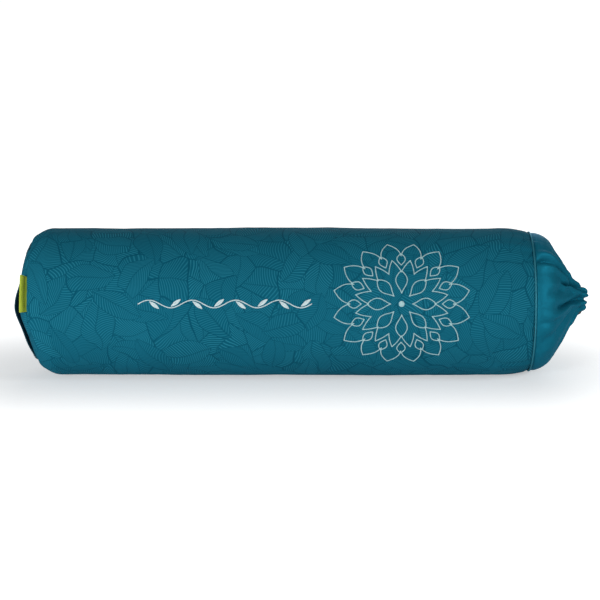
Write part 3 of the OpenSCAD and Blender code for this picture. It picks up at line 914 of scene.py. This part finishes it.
def flower(material):
    """Eight large petals, and three rings of small ones that reach the flower's edge."""
    step = 360 / 16
    rings = [
        (8, 0, 0.16, 0.5, 0, 14),
        (16, step / 2, 0.48, 0.68, step / 2, 0),
        (16, 0, 0.59, 0.79, 0, 5),
        (16, step / 2, 0.75, 1.0, step / 2, 2),
    ]
    paths = [petal_side(turn + 360 * k / count, side, r0, r1, open_angle, swell)
             for count, turn, r0, r1, open_angle, swell in rings for k in range(count) for side in (-1, 1)]
    starts, ends = satin_line(paths, 1.2 * MM, 0.8 * MM)
    eye_r = 0.043 * FLOWER_R
    rows = np.linspace(-eye_r, eye_r, 13)[1:-1]
    half = np.sqrt(eye_r**2 - rows**2)
    eye_starts = np.stack([FLOWER_X - half, rows], -1)
    eye_ends = np.stack([FLOWER_X + half, rows], -1)
    starts, ends = np.concatenate([starts, eye_starts]), np.concatenate([ends, eye_ends])
    return embroidered("flower_thread", starts, ends, 0.52 * MM, material, "flower_embroidery", 5)


def vine(material):
    """A wavy stem with a filled leaf in each bend."""
    waves, rise = 4, 5 * MM

    def stem(t):
        return np.stack([VINE_X + VINE_LEN * (t - 0.5), rise * np.sin(TAU * waves * (t - 0.5))], -1)

    starts, ends = satin_line([stem(np.linspace(0, 1, 200))], 1.4 * MM, 0.8 * MM)
    leaf_starts, leaf_ends = [], []
    for k in range(2 * waves):
        up = -1 if k % 2 == 0 else 1
        root = stem(np.array((k + 0.5) / (2 * waves))) + (0, up * 1.4 * MM)
        t = np.linspace(0.04, 0.98, 20)[:, None]
        rib = root + t * np.array((12, up * 9)) * MM
        half = 2.5 * MM * np.sin(np.pi * t) ** 0.8 * np.array((-0.6 * up, 0.8))
        for side in (-1, 1):
            leaf_starts.append(rib)
            leaf_ends.append(rib + side * half + np.array((1.2, 0.9 * up)) * MM)
    starts, ends = np.concatenate([starts, *leaf_starts]), np.concatenate([ends, *leaf_ends])
    return embroidered("vine_thread", starts, ends, 0.5 * MM, material, "vine_embroidery", 9)


# ---- the carry strap ----

strap_lo, strap_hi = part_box("handle_strap")
STRAP_W = strap_hi.y - strap_lo.y
STRAP_T = 2.3 * MM
# How far along the strap from each of its ends the bartacks' middle is
BARTACK_S = 17 * MM


def strap_path():
    """The middle of the strap's thickness in the plane y = 0, from its upper seam to its lower one:
    close to the closed end above, and bowed out of it below the axis, where its slack hangs."""
    z = np.linspace(76, -76, 200) * MM
    bow = 6.6 * MM * bump(z + 14 * MM, 32 * MM) + 3.4 * MM * bump(z + 54 * MM, 20 * MM)
    slack = 1.2 * MM + bow - 3.2 * MM * smooth_step(z, 5 * MM, 35 * MM)
    r = np.abs(z)
    step = 0.5 * MM
    slope = (dome_x(r + step) - dome_x(np.abs(r - step))) / (2 * step) * np.sign(z)
    length = np.hypot(1, slope)
    out = slack + STRAP_T / 2
    curve = np.stack([dome_x(r) - out / length, AXIS_Z + z + out * slope / length], -1)
    seam_x = float(dome_x(END_SEAM_R))
    end_x = seam_x + np.array((7, 1.5, -0.8)) * MM
    end_z = np.array((76, 79.4, 79.6)) * MM
    upper = np.stack([end_x, AXIS_Z + end_z], -1)
    lower = np.stack([end_x, AXIS_Z - end_z], -1)
    x, z = np.concatenate([upper, curve, lower[::-1]]).T
    flat = settled(np.stack([x, np.zeros_like(x), z], -1))[:, (0, 2)]
    return softened(resampled(flat, 0.4 * MM), 7)


STRAP_PATH = strap_path()
STRAP_NORMAL = unit(np.gradient(STRAP_PATH, axis=0))[:, ::-1] * (1, -1)
STRAP_S = distances(STRAP_PATH)


def strap_point(s, wide, high):
    """A point on the strap at s along it, wide across it and high above the middle of its thickness."""
    x, z, nx, nz = [np.interp(s, STRAP_S, column) for column in (*STRAP_PATH.T, *STRAP_NORMAL.T)]
    # Where it is slack, its far edge lies nearer the closed end.
    twist = 0.17 * bump(z - AXIS_Z + 8 * MM, 30 * MM)
    x = x + nx * high + twist * (wide + STRAP_W / 2)
    return np.stack(np.broadcast_arrays(x, wide, z + nz * high), -1)


def strap_part(name, low, high, material, start, end):
    """Webbing with lengthwise ribs of cross threads and rounded edges."""
    s = np.arange(low, high + 0.2 * MM, 0.5 * MM)
    s[-1] = high
    half_w, half_t = STRAP_W / 2 - 0.4 * MM, STRAP_T / 2
    wide = np.linspace(-half_w, half_w, 49)
    rim = half_t * (1 - (np.abs(wide) / half_w) ** 14) ** 0.5
    rim = np.maximum(rim, 0.25 * half_t)
    loop_w = np.concatenate([wide, wide[::-1]])
    loop_h = np.concatenate([rim, -rim[::-1]])
    grid_s, grid_w = grid(s, loop_w)
    rib_pitch = 3.1 * MM
    ribs = 0.16 * MM * np.cos(TAU * grid_w / rib_pitch)
    crossing = 0.1 * MM * np.cos(TAU * grid_s / (2.0 * MM) + np.pi * np.round(grid_w / rib_pitch))
    high = loop_h[None] + np.sign(loop_h)[None] * (ribs + crossing)
    points = strap_point(grid_s, grid_w, high)
    outline = np.stack([loop_w, loop_h], -1)
    girth = distances(np.concatenate([outline, outline[:1]]))
    flat = np.stack(np.meshgrid(girth, s), -1)[..., ::-1]
    obj = cap(sheet(name, points, flat))
    return dress_bent(obj, material, "handle", start, end, "strap_webbing", "handle_strap")


def bartack_part(name, middle, material, start, end):
    """Five bars of dense zigzag that sew the strap's end down."""
    bar_len, pitch = 6 * MM, 0.7 * MM
    s = np.arange(middle - bar_len / 2, middle + bar_len / 2, pitch)
    starts, ends = [], []
    half_bar, high = 1.3 * MM, STRAP_T / 2 + 0.2 * MM
    for row in (np.arange(5) - 2) * STRAP_W / 5.2:
        starts.append(strap_point(s, row - half_bar, high))
        ends.append(strap_point(s + pitch / 2, row + half_bar, high))
    starts, ends = np.concatenate(starts), np.concatenate(ends)
    up = starts - strap_point(np.tile(s, 5), starts[:, 1], 0)
    obj = stitches(name, starts, ends, up, 0.3 * MM, 0.8, 0.2 * MM)
    return dress_bent(obj, material, "handle", start, end, "thread_dark", "handle_bartacks")


def strap(webbing, sewing):
    """Its two halves, each sewn to the roll at its end, meet at the axis."""
    total = STRAP_S[-1]
    middle = float(np.interp(-AXIS_Z, -STRAP_PATH[:, 1], STRAP_S))
    halves = ((1, "upper", 0, middle, BARTACK_S), (-1, "lower", middle, total, total - BARTACK_S))
    for side, word, low, high, tack in halves:
        start = Vector((strap_hi.x, 0, AXIS_Z + side * 80 * MM))
        end = Vector((strap_hi.x, 0, AXIS_Z + side * 38 * MM))
        strap_part(f"handle_strap_{word}", low, high, webbing, start, end)
        bartack_part(f"handle_bartacks_{word}", tack, sewing, start, end)


# ---- the label ----

LABEL_TILT = math.radians(54)
LABEL_LEN = 48 * MM
LABEL_OUT = 8.6 * MM


def label_point(along, out, high):
    """A point on the label: along the seam, out of the seam, and high above the label's middle."""
    phi = LABEL_ANGLE + along / END_SEAM_R
    x = LABEL_ROOT.x - out * math.sin(LABEL_TILT) + high * math.cos(LABEL_TILT)
    r = END_SEAM_R + out * math.cos(LABEL_TILT) + high * math.sin(LABEL_TILT)
    return place(x, r, phi)


def label(ribbon, sewing):
    """A satin ribbon folded in half, with its two cut ends in the seam."""
    plies = np.array([(-0.3, 0.3), (0, 0.3), (0.16, 0.45), (0.34, 0.8), (0.6, 1.15), (0.84, 1.1),
                      (0.96, 0.75), (1, 0)]) * (LABEL_OUT, MM)
    lower = plies[-2::-1] * (1, -1)
    loop = softened(resampled(np.concatenate([plies, lower]), 0.3 * MM), 3)
    along = np.linspace(-LABEL_LEN / 2, LABEL_LEN / 2, 300)
    grid_u, grid_a = grid(np.arange(len(loop)), along)
    out, high = loop[grid_u, 0], loop[grid_u, 1]
    rib = 0.07 * MM * np.cos(TAU * grid_a / (0.8 * MM)) * np.sign(high)
    wave = 0.35 * MM * np.sin(grid_a / (9 * MM) + 1) * smooth_step(out, 2 * MM, 10 * MM)
    points = label_point(grid_a, out, high + rib + wave)
    s = np.arange(len(loop)) * 0.3 * MM
    flat = np.stack([grid_a, s[grid_u]], -1)
    obj = thicken(sheet("label_ribbon_fold", points, flat, wrap=False), 0.35 * MM, 0)
    outwards = Vector((-math.sin(LABEL_TILT), -math.cos(LABEL_TILT) * math.cos(LABEL_ANGLE),
                       math.cos(LABEL_TILT) * math.sin(LABEL_ANGLE)))
    root, free = LABEL_ROOT, LABEL_ROOT + 2.5 * MM * outwards
    dress_bent(obj, ribbon, "label", root, free, "label_ribbon", "label_tab")
    pitch = LABEL_LEN / 17
    at = (np.arange(16) - 7.5) * pitch
    out, high = 2.3 * MM, 0.85 * MM
    starts = label_point(at - 0.36 * pitch, out, high)
    ends = label_point(at + 0.36 * pitch, out, high)
    up = label_point(at, out, 2 * MM) - label_point(at, out, 0)
    row = stitches("label_stitch_row", starts, ends, up, 0.34 * MM, 0.8, 0.2 * MM)
    dress_bent(row, sewing, "label", root, free, "thread_dark", "label_stitches")


# ---- the drawcord and its lock ----

CORD_R = 1.75 * MM
TAIL_GAP = 6.4 * MM
TAIL_LEN = 94 * MM
CORNER = LOCK - 26 * MM * TAIL_DIR


def drawcord(material):
    """A ring in the hem whose two ends come out together and run down the cone, each to a knot."""
    opening = math.asin(TAIL_GAP / 2 / MOUTH_R)
    around_ring = EXIT + opening + np.linspace(0, TAU - 2 * opening, 90)
    ring = place(MOUTH_X, MOUTH_R, around_ring)
    ring[:, 2] += MOUTH_RISE
    corner, tail_dir = np.array(CORNER), np.array(TAIL_DIR)
    tails = []
    for end_of_ring in (ring[-1], ring[0]):
        side = np.sign(np.dot(end_of_ring - corner, TAIL_SIDE)) * np.array(TAIL_SIDE) * TAIL_GAP / 2
        run = corner + side + tail_dir * np.array([[0], [TAIL_LEN]])
        tails.append(softened(resampled(np.concatenate([end_of_ring[None], run]), 0.6 * MM), 8))
    path = resampled(np.concatenate([tails[1][::-1], ring[1:-1], tails[0]]), 0.6 * MM)
    cord = swept("drawcord_braid", path, braid_radii(path, CORD_R))
    dress(cord, material, "roll", "cord", "drawcord")
    for word, tail in (("a", tails[0]), ("b", tails[1])):
        coil(f"drawcord_knot_{word}", tail[-1] - 3 * MM * tail_dir, tail_dir, material)


def coil(name, foot, axis, material):
    """The wraps of a stopper knot round a tail's end."""
    t = np.linspace(0, 1, 90)
    side = unit(np.cross(axis, (0, 0, 1)))
    other = np.cross(axis, side)
    a = TAU * 2.6 * t
    radius = 1.55 * MM
    wraps = side * np.cos(a)[:, None] + other * np.sin(a)[:, None]
    path = foot + axis * (5.2 * MM * t)[:, None] + radius * wraps
    obj = swept(name, path, braid_radii(path, 1.3 * MM, 16, 4 * MM))
    dress(obj, material, "roll", "cord")


LOCK_AXES = [np.array(axis) for axis in (TAIL_OUT, TAIL_DIR, TAIL_SIDE)]


def turned(name, outline, columns, reshape=None):
    """A solid turned round the lock's axis from points [height, radius] in mm."""
    heights, radii = resampled(np.array(outline) * MM, 0.45 * MM).T
    if reshape:
        radii = reshape(heights, radii)
    return lathe(name, heights, radii, np.array(LOCK), LOCK_AXES[0], LOCK_AXES[1], columns)


def lock_barrel(material):
    """A barrel with grip flutes and two bores for the tails."""
    _, along, side = LOCK_AXES
    columns, flutes = 144, 24
    a = np.linspace(0, TAU, columns, endpoint=False)

    def fluted(heights, radii):
        grip = smooth_step(heights, -6.5 * MM, -5 * MM) * (1 - smooth_step(heights, 3.2 * MM, 4.6 * MM))
        grip = grip * (radii > 9 * MM)
        return radii[:, None] - 0.4 * MM * grip[:, None] * (0.5 + 0.5 * np.cos(flutes * a)) ** 2

    outline = [(-8.8, 0.1), (-8.8, 8.3), (-8.5, 9.0), (-7.9, 9.4), (-6, 9.5), (3.6, 9.5), (5.4, 9.4),
               (6.2, 9.0), (6.5, 8.4), (6.4, 7.9), (6.0, 7.6), (-7.6, 7.6), (-7.6, 0.1)]
    barrel = turned("cord_lock_barrel", outline, columns, fluted)
    ends, radii = np.array((-12, 12)) * MM, np.array((2.1, 2.1)) * MM
    middles = [np.array(LOCK) + k * side * TAIL_GAP / 2 for k in (-1, 1)]
    barrel = carved(barrel, *[lathe("bore", ends, radii, middle, along, side, 40) for middle in middles])
    dress(barrel, material, "cord_lock", "lock_plastic", "cord_lock_body")


def lock_plunger(material):
    """A domed plunger with a window that the tails go through."""
    out, along, side = LOCK_AXES
    centre = np.array(LOCK)
    outline = [(-3.3, 0.1), (-3.3, 7.1), (-3.0, 7.45), (9.0, 7.5), (10.0, 7.2), (10.4, 6.5), (10.5, 5.4),
               (10.1, 4.4), (9.9, 0.1)]
    plunger = turned("cord_lock_plunger", outline, 96)
    window = lathe("window", np.array((-9, 9)) * MM, np.array((1, 1)), centre, along, side, 4)
    for vertex in window.data.vertices:
        offset = np.array(vertex.co) - centre
        lengthwise = along * np.dot(offset, along)
        wide = 5.3 * MM * np.sign(np.dot(offset, side) + np.dot(offset, out))
        high = 3.05 * MM * np.sign(np.dot(offset, out) - np.dot(offset, side))
        vertex.co = centre + lengthwise + side * wide + out * (1.1 * MM + high)
    dress(carved(plunger, window), material, "lock_button", "lock_plastic", "cord_lock_button")


def lock_spring(material):
    """A coil between the barrel's floor and the plunger, with closed ends."""
    out, along, side = LOCK_AXES
    t = np.linspace(0, 1, 260)
    turn = TAU * 4.2 * t[:, None]
    rise = 0.35 * MM + 3.6 * MM * smooth_step(t, 0.12, 0.88)
    wraps = along * np.cos(turn) + side * np.sin(turn)
    path = np.array(SPRING_FOOT) + rise[:, None] * out + 5.3 * MM * wraps
    spring = swept("cord_lock_coil", path, np.full((len(path), 10), 0.3 * MM))
    dress(spring, material, "cord_lock", "steel", "cord_lock_spring")
    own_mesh(spring)


# ---- the insert ----

INSERT_SEAM_R = 78 * MM
INSERT_END_Q = float(SLEEVE.s[np.argmax(SLEEVE.x > ZIP_FACE_X - 5 * MM)])


def layer_rows(inset, end_r, end_q, columns):
    """The rows of a layer inside the cover, from its seam at the closed end to a place on the sleeve."""
    tube = tube_profile(end_r)
    early = tube.length - TUBE.length
    phi = around(columns)
    s, q = np.linspace(-early, TUBE.length - MM, 150), np.linspace(3 * MM, end_q, 24)
    grid_s, grid_phi = grid(s, phi)
    grid_q, grid_phi_q = grid(q, phi)
    x, r = tube.at(grid_s + early)
    out = cloth_swell(place(x, r, grid_phi)) - inset
    on_tube = tube.raised(grid_s + early, grid_phi, out, inset)
    on_sleeve = sleeve_surface(grid_q, grid_phi_q, inset + 1.8 * MM)
    lengthwise = np.concatenate([grid_s, TUBE.length + grid_q])
    flat = np.stack([lengthwise, ROLL_R * np.concatenate([grid_phi, grid_phi_q])], -1)
    return np.concatenate([on_tube, on_sleeve]), flat


def insert(ticking):
    """The cotton casing: its tube, its closed end and its zip end."""
    points, flat = layer_rows(INSERT_GAP, INSERT_SEAM_R, INSERT_END_Q, 240)
    tube = thicken(sheet("insert_tube_ticking", points[:, :-1], flat), TICKING_T)
    dress(tube, ticking, "roll", "ticking", "insert_tube")
    end_panel("insert_closed_ticking", ticking, "ticking", "insert_closed_end", INSERT_SEAM_R, INSERT_GAP,
              TICKING_T)
    insert_zip_end(points[-1, :-1], ticking)


def fibre_mass(material):
    """The fibre, a clumpy mass that fills the casing."""
    inset = INSERT_GAP + TICKING_T + 2.2 * MM
    rows, _ = layer_rows(inset, INSERT_SEAM_R - 4 * MM, INSERT_END_Q - 4 * MM, 200)
    rows = rows[:, :-1]
    middle_left = np.array((rows[0, :, 0].mean() - 4 * MM, 0, AXIS_Z))
    middle_right = np.array((ZIP_FACE_X - 5 * MM, 0, AXIS_Z))
    shares = np.linspace(0.03, 0.95, 14)[:, None, None]
    left = middle_left + (rows[0] - middle_left) * shares
    left[..., 0] -= 13 * MM * (1 - shares[..., 0] ** 2)
    right = rows[-1] + (middle_right - rows[-1]) * (1 - shares[::-1])
    fill = np.concatenate([left, rows, right])
    clumps = fractal(fill, 16 * MM, 3, 8.8)
    towards = unit(np.array((0, 0, AXIS_Z)) - fill * (0, 1, 1))
    fill = fill + towards * (1.1 * MM * np.abs(clumps))[..., None]
    dress(cap(sheet("fibre_filling_mass", fill)), material, "roll", "filling", "fibre_filling")


def insert_zip_end(rim, material):
    """The insert's flat end panel, from the slit that the zip closes to its seam, the rim."""
    half_slit, half_zip = 3 * MM, 60 * MM
    # The slit is a long, narrow loop round the middle.
    phi = np.arctan2(rim[:, 2] - AXIS_Z, -rim[:, 1])
    slit_y = np.clip(-1.6 * half_zip * np.cos(phi), -half_zip, half_zip)
    slit_z = AXIS_Z + np.clip(1.92 * half_slit * np.sin(phi), -half_slit, half_slit)
    slit = np.stack([np.full(len(rim), ZIP_FACE_X - TICKING_T / 2), slit_y, slit_z], -1)
    share = np.linspace(0, 1, 26)[:, None, None]
    points = slit + (rim - slit) * share
    # The panel is flat, and drops to its seam only near the rim.
    points[..., 0] = slit[:, 0] + (rim[:, 0] - slit[:, 0]) * share[..., 0] ** 9
    closed = np.concatenate([points, points[:, :1]], 1)
    obj = thicken(sheet("insert_zip_end_ticking", points, closed[..., 1:]), TICKING_T, 0)
    return dress(obj, material, "roll", "ticking", "insert_zip_end")


def zip_fastener(tape, plastic, steel):
    keep_cad("zip_tapes", tape)
    keep_cad("zip_teeth", plastic, 0.2 * MM)
    for node in ("zip_stops", "zip_slider", "zip_pull"):
        keep_cad(node, steel, 0.2 * MM)


# ---- the studio ----


def camera():
    scene = bpy.context.scene
    scene.view_settings.view_transform = "Standard"
    target = Vector((34.5 * MM, 0, AXIS_Z + 2 * MM))
    elevation, distance = math.radians(15), 2.8
    data = bpy.data.cameras.new("camera")
    data.lens = 123.5
    data.sensor_width = 36
    obj = collection_add(bpy.data.objects.new("camera", data))
    obj.location = target + distance * Vector((0, -math.cos(elevation), math.sin(elevation)))
    obj.rotation_euler = (target - obj.location).to_track_quat("-Z", "Y").to_euler()
    scene.camera = obj


def softbox(name, spot, target, size, power):
    light = bpy.data.lights.new(name, "AREA")
    light.energy = power
    light.size = size
    lamp = collection_add(bpy.data.objects.new(name, light))
    lamp.location = spot
    lamp.rotation_euler = (Vector(target) - lamp.location).to_track_quat("-Z", "Y").to_euler()


def studio():
    """White surroundings for the camera, a dim sky for the object, and soft lamps."""
    world = bpy.data.worlds.new("studio")
    world.use_nodes = True
    tree = world.node_tree
    seen = tree.nodes.new("ShaderNodeLightPath")
    strength = tree.nodes.new("ShaderNodeMapRange")
    strength.inputs["To Min"].default_value = 0.17
    strength.inputs["To Max"].default_value = 1.0
    tree.links.new(seen.outputs["Is Camera Ray"], strength.inputs["Value"])
    tree.nodes["Background"].inputs[0].default_value = (1, 1, 1, 1)
    tree.links.new(strength.outputs[0], tree.nodes["Background"].inputs[1])
    bpy.context.scene.world = world
    softbox("key", (-1.5, -2.2, 0.55), (-0.15, 0, 0.1), 1.0, 50)
    softbox("top_right", (1.6, -0.9, 0.8), (0.42, 0, 0.12), 0.4, 10)
    softbox("back", (0.4, 2.5, 0.8), (0.1, 0, 0.1), 1.6, 26)


def pale_floor():
    """A floor that takes a shadow near the object and glows white further off."""
    half, reach = 20, 0.32
    corners = [(-half, -half, 0), (half, -half, 0), (half, half, 0), (-half, half, 0)]
    floor = mesh_object("floor", corners, [(0, 1, 2, 3)], False)
    n = Nodes("floor")
    beyond = n.vector("SUBTRACT", n.vector("ABSOLUTE", body_place(n)), (reach, 0, 0))
    away = n.vector("LENGTH", n.vector("MAXIMUM", beyond, (0, 0, 0)), out=1)
    seen = n.new("ShaderNodeLightPath")
    glow = n.times(n.ramp(away, 0.03, 0.34, 0.42, 1.0), n.scaled(seen, 0.8, 0.2))
    shade = n.mix(n.ramp(away, 0.3, 1.2), rgb(225, 228, 230), rgb(120, 120, 120))
    floor.data.materials.append(n.finish(shade, 0.9, Specular_IOR_Level=0.0, Emission_Color=(1, 1, 1, 1),
                                         Emission_Strength=glow))


# ---- the object ----

printed = printed_cloth()
plain = plain_cloth("plain_cloth", rgb(18, 104, 128), rgb(26, 120, 145))
# The piping's cloth is a lighter copy of the sleeve's cloth: its lightness is a painted highlight along the
# piping's ridge.
painted_highlight_piping = plain_cloth("painted_highlight_piping_cloth", rgb(44, 122, 141), rgb(66, 142, 159), 0.1)
dark_sewing = thread("dark_sewing_thread", rgb(18, 92, 112), rgb(10, 62, 78))
cover_body(printed)
back_seam_stitches(dark_sewing)
end_panel("cover_end_panel_cloth", printed, "printed_fabric", "cover_end_panel", END_SEAM_R)
sleeve_sheet("cover_sleeve_cloth", 0, THROAT, 130, plain, "plain_fabric", "cover_sleeve")
sleeve_sheet("drawcord_casing_cloth", THROAT, SLEEVE.length, 40, plain, "plain_fabric", "drawcord_casing")
piping(painted_highlight_piping)
hem_stitches(dark_sewing)
flower(thread("flower_thread", rgb(196, 224, 226), rgb(150, 196, 202)))
vine(thread("vine_thread", rgb(232, 242, 243), rgb(196, 220, 224)))
# The webbing's dark grey-blue is the cover's teal darkened: painted shade, for the strap sits in shade at
# the closed end.
strap(ribbed("webbing", rgb(24, 58, 70), rgb(44, 90, 104), 2.0 * MM), dark_sewing)
label(ribbed("lime_ribbon", rgb(150, 172, 42), rgb(196, 210, 74), 0.8 * MM, 0.5),
      thread("olive_thread", rgb(112, 124, 30), rgb(70, 84, 20)))
drawcord(braided("braided_cord", rgb(10, 70, 88), rgb(30, 112, 132)))
plated_steel = plated("plated_steel")
lock_barrel(moulded("lock_plastic", rgb(44, 50, 54)))
lock_plunger(moulded("button_plastic", rgb(56, 62, 66), 0.42))
lock_spring(plated_steel)
insert(twill_cotton("cotton_ticking", rgb(205, 198, 180), rgb(234, 229, 214)))
fibre_mass(fibre_fill())
zip_fastener(ribbed("zip_tape", rgb(206, 202, 190), rgb(232, 229, 219), 0.9 * MM),
             moulded("zip_plastic", rgb(226, 222, 210), 0.35), plated_steel)
camera()
studio()
pale_floor()
